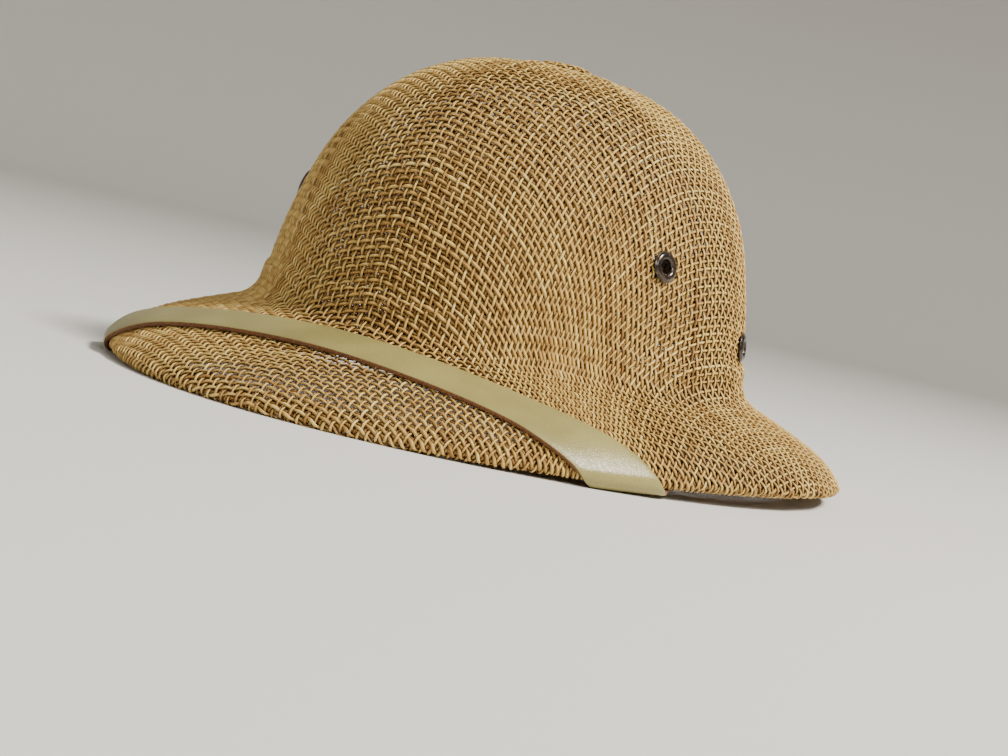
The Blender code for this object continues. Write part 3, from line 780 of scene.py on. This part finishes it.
def straw_material():
    """Dry straw: a tone for each yarn, streaks along it, and painted shade on each yarn's inner side and deep
    in the cloth.
    """
    material, tree, shader = shader_of("straw_yarn")
    tone = attribute(tree, "tone").outputs["Fac"]
    grain = attribute(tree, "grain").outputs["Vector"]
    streaks = noise(tree, grain, scale=3.2, detail=3.0)
    mixed = math_node(tree, "SUBTRACT", math_node(tree, "MULTIPLY_ADD", streaks, STREAKS, tone), STREAKS / 2)
    dark = tree.nodes.new("ShaderNodeMix")
    dark.data_type = "RGBA"
    dark.blend_type = "MULTIPLY"
    socket = {item.identifier: item for item in dark.inputs}
    # Painted shade: the straw's colour is multiplied towards dark brown by the attribute inner
    socket["B_Color"].default_value = PAINTED_SHADE_COLOUR
    tree.links.new(attribute(tree, "inner").outputs["Fac"], socket["Factor_Float"])
    tree.links.new(colour_ramp(tree, mixed, STRAW_TONES), socket["A_Color"])
    result = next(item for item in dark.outputs if item.identifier == "Result_Color")
    tree.links.new(result, shader.inputs["Base Color"])
    bump(tree, shader, noise(tree, grain, scale=9.0, detail=2.0), strength=0.5, distance=0.0001)
    roughness = map_range(tree, tone, 0.0, 1.0, to_low=0.62, to_high=0.44)
    tree.links.new(roughness, shader.inputs["Roughness"])
    shader.inputs["Specular IOR Level"].default_value = 0.28
    return material


def khaki_material():
    """Khaki leather cloth with a fine pebbled grain."""
    material, tree, shader = shader_of("khaki_leather_cloth")
    where = object_place(tree)
    pebbles = tree.nodes.new("ShaderNodeTexVoronoi")
    pebbles.feature = "DISTANCE_TO_EDGE"
    pebbles.inputs["Scale"].default_value = 1500.0
    tree.links.new(where, pebbles.inputs["Vector"])
    fine = noise(tree, where, scale=900.0, detail=4.0)
    patches = noise(tree, where, scale=45.0, detail=5.0)
    tree.links.new(colour_ramp(tree, patches, KHAKI_TONES), shader.inputs["Base Color"])
    grain = math_node(tree, "MULTIPLY_ADD", pebbles.outputs["Distance"], 2.0, fine)
    bump(tree, shader, grain, strength=0.35, distance=0.00014)
    roughness = map_range(tree, fine, 0.0, 1.0, to_low=0.26, to_high=0.40)
    tree.links.new(roughness, shader.inputs["Roughness"])
    shader.inputs["Specular IOR Level"].default_value = 0.55
    return material


def backing_material():
    """The strap's fibrous brown backing."""
    material, tree, shader = shader_of("brown_backing")
    fuzz = noise(tree, object_place(tree), scale=1400.0, detail=4.0)
    tree.links.new(colour_ramp(tree, fuzz, BACKING_TONES), shader.inputs["Base Color"])
    bump(tree, shader, fuzz, strength=0.5, distance=0.0001)
    shader.inputs["Roughness"].default_value = 0.8
    return material


def bronze_material():
    """Dark enamel, worn to bronze in places."""
    material, tree, shader = shader_of("dark_bronze")
    wear = noise(tree, object_place(tree), scale=700.0, detail=5.0)
    tree.links.new(colour_ramp(tree, wear, BRONZE_TONES), shader.inputs["Base Color"])
    roughness = map_range(tree, wear, 0.0, 1.0, to_low=0.16, to_high=0.36)
    tree.links.new(roughness, shader.inputs["Roughness"])
    shader.inputs["Metallic"].default_value = 0.6
    shader.inputs["Coat Weight"].default_value = 0.5
    shader.inputs["Coat Roughness"].default_value = 0.12
    return material


def turned_piece(name, outline, steps, seat, material, node):
    """A closed profile turned about a seat's axis, its texture laid out round and along it."""
    here, axes = seat
    outline = np.array(outline)
    count = len(outline)
    turn = 2.0 * math.pi * np.arange(steps) / steps
    radius = outline[None, :, 0]
    level = np.broadcast_to(outline[:, 1], (steps, count))
    local = np.stack([radius * np.cos(turn)[:, None], radius * np.sin(turn)[:, None], level], axis=-1)
    points = here + local @ np.array(axes)
    i, j = np.meshgrid(np.arange(steps), np.arange(count), indexing="ij")
    after, below = (i + 1) % steps, (j + 1) % count
    quads = np.stack([i * count + j, i * count + below, after * count + below, after * count + j], axis=-1)
    mesh = mesh_from_arrays(name, points.reshape(-1, 3), quads.reshape(-1), np.full(steps * count, 4))
    u = np.stack([i, i, i + 1, i + 1], axis=-1) / steps
    v = np.stack([j, j + 1, j + 1, j], axis=-1) / count
    finish_mesh(mesh, np.stack([u, v], axis=-1).reshape(-1, 2), [material])
    return add_object(name, mesh, "eyelet", node)


def arc(middle, radii, start, stop, count):
    """Points on part of an ellipse, its angles in degrees."""
    turn = np.radians(np.linspace(start, stop, count))
    return [(middle[0] + radii[0] * math.cos(t), middle[1] + radii[1] * math.sin(t)) for t in turn]


def add_eyelets(material):
    """Turned eyelets: a domed flange, a barrel through the shell and a clinched lip inside."""
    foot = -WALL - INNER_GAP
    edge = EYELET_EDGE
    dome = (EYELET_HOLE + EYELET_FLANGE - edge) / 2
    lip = (EYELET_HOLE + CLINCH_RADIUS) / 2
    underside = foot + CLINCH_FLAT
    outline = arc((EYELET_FLANGE - edge, GAP + edge), (edge, edge), -80.0, 60.0, 5)
    outline += arc((dome, GAP + edge), (dome - EYELET_HOLE, EYELET_RISE - edge), 20.0, 180.0, 13)
    outline += [(EYELET_HOLE, share * foot) for share in (0.3, 0.7)]
    outline += arc((lip, foot), (lip - EYELET_HOLE, -CLINCH_RISE), 180.0, 0.0, 9)
    outline += [(CLINCH_RADIUS - edge, underside), (EYELET_BARREL, underside), (EYELET_BARREL, GAP)]
    for name, seat in eyelet_seats().items():
        turned_piece("turned_" + name, outline[::-1], EYELET_STEPS, seat, material, name)


def strap_plan(share):
    """The strap's middle line seen from above, from the crown's middle, and its heading."""
    front = np.array([0.0, -CROWN_HALF_LENGTH - STRAP_SETBACK])
    span = rim_spot(np.array(STRAP_RIM_ANGLE)) - front
    power = STRAP_PLAN_EXPONENT
    middle = front + span * (share, share ** power)
    return middle, unit(np.array([span[0], power * span[1] * share ** (power - 1.0)]))


def rim_spot(angle):
    """A point of the rim seen from above, from the crown's middle."""
    return rim_radius(angle)[..., None] * np.stack([np.sin(angle), -np.cos(angle)], axis=-1)


def upright_row(stop, across):
    """A row inside the crown, turned from flat to upright against the wall."""
    degrees, out, rise, twist = stop
    angle, twist = math.radians(degrees), math.radians(twist)
    wall, _ = crown_point(angle, lean_at_height((STRAP_ROUTE[-1][2] + 0.5) * STRAP_WIDTH))
    reach = across * STRAP_WIDTH / 2
    radius = wall - WALL - INNER_GAP + out * JOIN_FILLET + reach * math.cos(twist)
    return place(angle, (radius, JOIN_HEIGHT + rise * STRAP_WIDTH - reach * math.sin(twist)))


def spline(rows, steps):
    """Rows in between others, on a smooth curve through them."""
    rows = [2.0 * rows[0] - rows[1]] + rows + [2.0 * rows[-1] - rows[-2]]
    found = []
    for p0, p1, p2, p3 in zip(rows, rows[1:], rows[2:], rows[3:]):
        found += [between(p0, p1, p2, p3, part) for part in np.arange(steps) / steps]
    return found + [rows[-2]]


def strap_rows(across):
    """Rows of the strap's inner face for its left half, from the front to its end."""
    edge = rim_radius(STRAP_RIM_ANGLE)
    ends = rim_spot(np.array([STRAP_RIM_ANGLE - SMALL_TURN, STRAP_RIM_ANGLE + SMALL_TURN]))
    along_rim = unit(ends[1] - ends[0])
    crossing = math.acos(float(strap_plan(1.0)[1] @ along_rim))
    half_angle = STRAP_WIDTH / 2 / math.sin(crossing) / edge
    skewed = rim_spot(STRAP_RIM_ANGLE + across * half_angle) - strap_plan(1.0)[0]
    rows = []
    for share in np.arange(STRAP_ROWS["brim"]) / STRAP_ROWS["brim"]:
        middle, heading = strap_plan(share)
        turn = smoothstep((share - STRAP_SKEWS_FROM) / (1.0 - STRAP_SKEWS_FROM))
        square = across[:, None] * STRAP_WIDTH / 2 * np.array([-heading[1], heading[0]])
        spot = middle + square * (1.0 - turn) + skewed * turn
        angle = np.arctan2(spot[:, 0], -spot[:, 1])
        inner = base_radius(angle)
        over = (np.linalg.norm(spot, axis=1) - inner) / (rim_radius(angle) - inner)
        rows.append(place(angle, brim_point(angle, over, GAP)))
    lag = 1.0 / math.tan(crossing) / edge
    for turn in np.linspace(0.0, math.pi, STRAP_ROWS["rim"]):
        angle = STRAP_RIM_ANGLE + lag * (ROLL_RADIUS + GAP) * turn + across * half_angle
        rows.append(place(angle, roll_point(angle, turn, GAP)))
    angle = STRAP_RIM_ANGLE + lag * ((ROLL_RADIUS + GAP) * math.pi + HEM_DEPTH)
    share = 1.0 - HEM_DEPTH / (edge - base_radius(STRAP_RIM_ANGLE))
    depth = -2.0 * ROLL_RADIUS - GAP
    here = place(angle, brim_point(angle, share, depth))[:2]
    target = upright_row(STRAP_ROUTE[0], np.zeros(1))[0, :2]
    leaving = math.acos(float(unit(target - here) @ along_rim))
    angle = angle + across * STRAP_WIDTH / 2 / math.sin(leaving) / math.hypot(*here)
    hem = place(angle, brim_point(angle, share, depth))
    stops = [rows[-1], hem] + [upright_row(stop, across) for stop in STRAP_ROUTE]
    return rows + spline(stops, STRAP_ROWS["hidden"])[1:]


def add_strap(face, backing):
    """A band with rounded shoulders: leather cloth outside, brown backing inside and at its edges."""
    face_lines = np.linspace(-FACE_HALF_WIDTH, FACE_HALF_WIDTH, FACE_LINES)
    across = np.concatenate([-SHOULDER_LINES[::-1], face_lines, SHOULDER_LINES])
    half = np.array(strap_rows(across))
    whole = np.concatenate([half[:0:-1] * (-1.0, 1.0, 1.0), half])
    sideways = np.gradient(whole, axis=1)
    normal = unit(np.cross(np.gradient(whole, axis=0), sideways))
    sideways = unit(sideways)
    past = np.clip((np.abs(across) - SHOULDER_START) / (1.0 - SHOULDER_START), 0.0, 1.0)
    shoulder = 1.0 - SHOULDER_DROP * past ** 2
    loops = [whole + normal * (STRAP_THICKNESS * shoulder)[None, :, None]]
    for rail, side, order in ((-1, 1.0, EDGE_LINES), (0, -1.0, EDGE_LINES[::-1])):
        lines = [whole[:, rail] + normal[:, rail] * STRAP_THICKNESS * level
                 + sideways[:, rail] * side * STRAP_BULGE * swell for level, swell in order]
        loops.append(np.stack(lines, axis=1))
        if side > 0.0:
            loops.append(whole[:, ::-1])
    grid = np.concatenate(loops, axis=1)
    rows, count = grid.shape[:2]
    i, j = np.meshgrid(np.arange(rows - 1), np.arange(count), indexing="ij")
    below = (j + 1) % count
    here, ahead = i * count, (i + 1) * count
    quads = np.stack([here + j, ahead + j, ahead + below, here + below], axis=-1).reshape(-1)
    caps = np.concatenate([np.arange(count), (rows - 1) * count + np.arange(count)[::-1]])
    sizes = np.concatenate([np.full((rows - 1) * count, 4), [count, count]])
    mesh = mesh_from_arrays("strap_band", grid.reshape(-1, 3), np.concatenate([quads, caps]), sizes)
    length = np.cumsum(np.linalg.norm(np.diff(whole[:, len(across) // 2], axis=0), axis=1))
    length = np.concatenate([[0.0], length]) / length[-1]
    u = np.stack([length[i], length[i + 1], length[i + 1], length[i]], axis=-1)
    v = np.stack([j, j, j + 1, j + 1], axis=-1) / count
    spot = 2.0 * math.pi * np.arange(count) / count
    cap = 0.5 + np.stack([np.cos(spot), np.sin(spot)], axis=-1) * STRAP_END_PATCH
    uv = np.concatenate([np.stack([u, v], axis=-1).reshape(-1, 2), cap, cap[::-1]])
    finish_mesh(mesh, uv, [face, backing])
    index = np.where(j < len(across) - 1, 0, 1).reshape(-1)
    mesh.polygons.foreach_set("material_index", np.concatenate([index, [1, 1]]).astype(np.int32))
    mesh.update()
    return add_object("strap_band", mesh, "strap", "chin_strap")


def add_rivets(material):
    """Low domed rivets through the strap's hidden ends."""
    ends = [upright_row(stop, np.zeros(1))[0] for stop in STRAP_ROUTE[-2:]]
    middle = (ends[0] + ends[1]) / 2
    inward = unit(np.cross(ends[1] - ends[0], (0.0, 0.0, -1.0)))
    seat_height = STRAP_THICKNESS + GAP
    outline = []
    for turn in np.linspace(SMALL_TURN, math.pi / 2, 8):
        level = RIVET_RIM_SHARE + (1.0 - RIVET_RIM_SHARE) * math.cos(turn)
        outline.append((RIVET_HEAD * math.sin(turn), seat_height + RIVET_HEAD_THICKNESS * level))
    outline += [(RIVET_HEAD, seat_height), (RIVET_SHANK, seat_height), (RIVET_SHANK, 0.0), (RIVET_TIP, 0.0)]
    for side, sign in (("left", 1.0), ("right", -1.0)):
        axis = np.array([sign * inward[0], inward[1], 0.0])
        up = np.array([0.0, 0.0, 1.0])
        seat = (middle * (sign, 1.0, 1.0), (np.cross(up, axis), up, axis))
        turned_piece("turned_rivet_" + side, outline, RIVET_STEPS, seat, material, "strap_rivet_" + side)


def add_camera():
    """The photo's camera, rolled as the photo sees the helmet tilted, and shifted to its frame."""
    level = math.cos(CAMERA_RISE)
    towards = Vector((math.sin(CAMERA_ANGLE) * level, -math.cos(CAMERA_ANGLE) * level, math.sin(CAMERA_RISE)))
    right = Vector((math.cos(CAMERA_ANGLE), math.sin(CAMERA_ANGLE), 0.0))
    up = towards.cross(right)
    across = right * math.cos(CAMERA_ROLL) + up * math.sin(CAMERA_ROLL)
    upwards = up * math.cos(CAMERA_ROLL) - right * math.sin(CAMERA_ROLL)
    data = bpy.data.cameras.new("camera")
    data.sensor_width = SENSOR_WIDTH
    data.lens = FOCAL_PIXELS / PHOTO_WIDTH * data.sensor_width
    data.shift_x = (PHOTO_WIDTH / 2 - TARGET_PIXEL[0]) / PHOTO_WIDTH
    data.shift_y = (TARGET_PIXEL[1] - PHOTO_HEIGHT / 2) / PHOTO_WIDTH
    data.clip_start = NEAR_CLIP
    camera = bpy.data.objects.new("camera", data)
    turn = Matrix((across, upwards, towards)).transposed().to_4x4()
    target = Vector((0.0, MIDDLE_Y, TARGET_HEIGHT))
    camera.matrix_world = Matrix.Translation(target + towards * CAMERA_DISTANCE) @ turn
    bpy.context.scene.collection.objects.link(camera)
    bpy.context.scene.camera = camera


def add_light(name, size, power, spot, colour):
    """A round soft light that points at the helmet."""
    data = bpy.data.lights.new(name, "AREA")
    data.shape = "DISK"
    data.size = size
    data.energy = power
    data.color = colour
    lamp = bpy.data.objects.new(name, data)
    lamp.location = spot
    aim = Vector((0.0, 0.0, TARGET_HEIGHT)) - Vector(spot)
    lamp.rotation_euler = aim.to_track_quat("-Z", "Y").to_euler()
    bpy.context.scene.collection.objects.link(lamp)


def add_studio():
    """A round pale floor that curves up into a wall coloured darker as painted shade, with soft lights."""
    material, tree, shader = shader_of("pale_floor")
    split = tree.nodes.new("ShaderNodeSeparateXYZ")
    tree.links.new(object_place(tree), split.inputs["Vector"])
    # Painted shade: the colour darkens from the floor's to the wall's as the surface rises
    rise = map_range(tree, split.outputs["Z"], 0.0, WALL_SHADES_OVER, 0.0, 1.0)
    colour = colour_ramp(tree, rise, ((0.0, FLOOR_COLOUR), (1.0, SHADED_WALL_COLOUR)))
    tree.links.new(colour, shader.inputs["Base Color"])
    shader.inputs["Roughness"].default_value = 0.85
    outline = [(radius, 0.0) for radius in FLOOR_RINGS]
    outline += [(FLOOR_RADIUS + FLOOR_BEND * math.sin(t), FLOOR_BEND - FLOOR_BEND * math.cos(t))
                for t in np.linspace(0.0, math.pi / 2, 12)]
    outline += [(FLOOR_RADIUS + FLOOR_BEND, WALL_TOP)]
    steps, count = FLOOR_STEPS, len(outline)
    points = []
    for turn in 2.0 * math.pi * np.arange(steps) / steps:
        points += [(radius * math.cos(turn), radius * math.sin(turn), height) for radius, height in outline]
    faces = [tuple(i * count for i in range(steps))]
    for i in range(steps):
        for j in range(count - 1):
            a, b = i * count + j, (i + 1) % steps * count + j
            faces.append((a, a + 1, b + 1, b))
    mesh = bpy.data.meshes.new("floor")
    mesh.from_pydata(points, [], faces)
    mesh.shade_smooth()
    mesh.materials.append(material)
    floor = bpy.data.objects.new("floor", mesh)
    bpy.context.scene.collection.objects.link(floor)
    for light in LIGHTS:
        add_light(**light)
    world = bpy.data.worlds.new("soft")
    world.use_nodes = True
    sky = world.node_tree.nodes["Background"]
    sky.inputs["Color"].default_value = SKY_COLOUR
    sky.inputs["Strength"].default_value = SKY_STRENGTH
    bpy.context.scene.world = world


add_camera()
add_studio()
add_weave(straw_material())
add_strap(khaki_material(), backing_material())
bronze = bronze_material()
add_eyelets(bronze)
add_rivets(bronze)
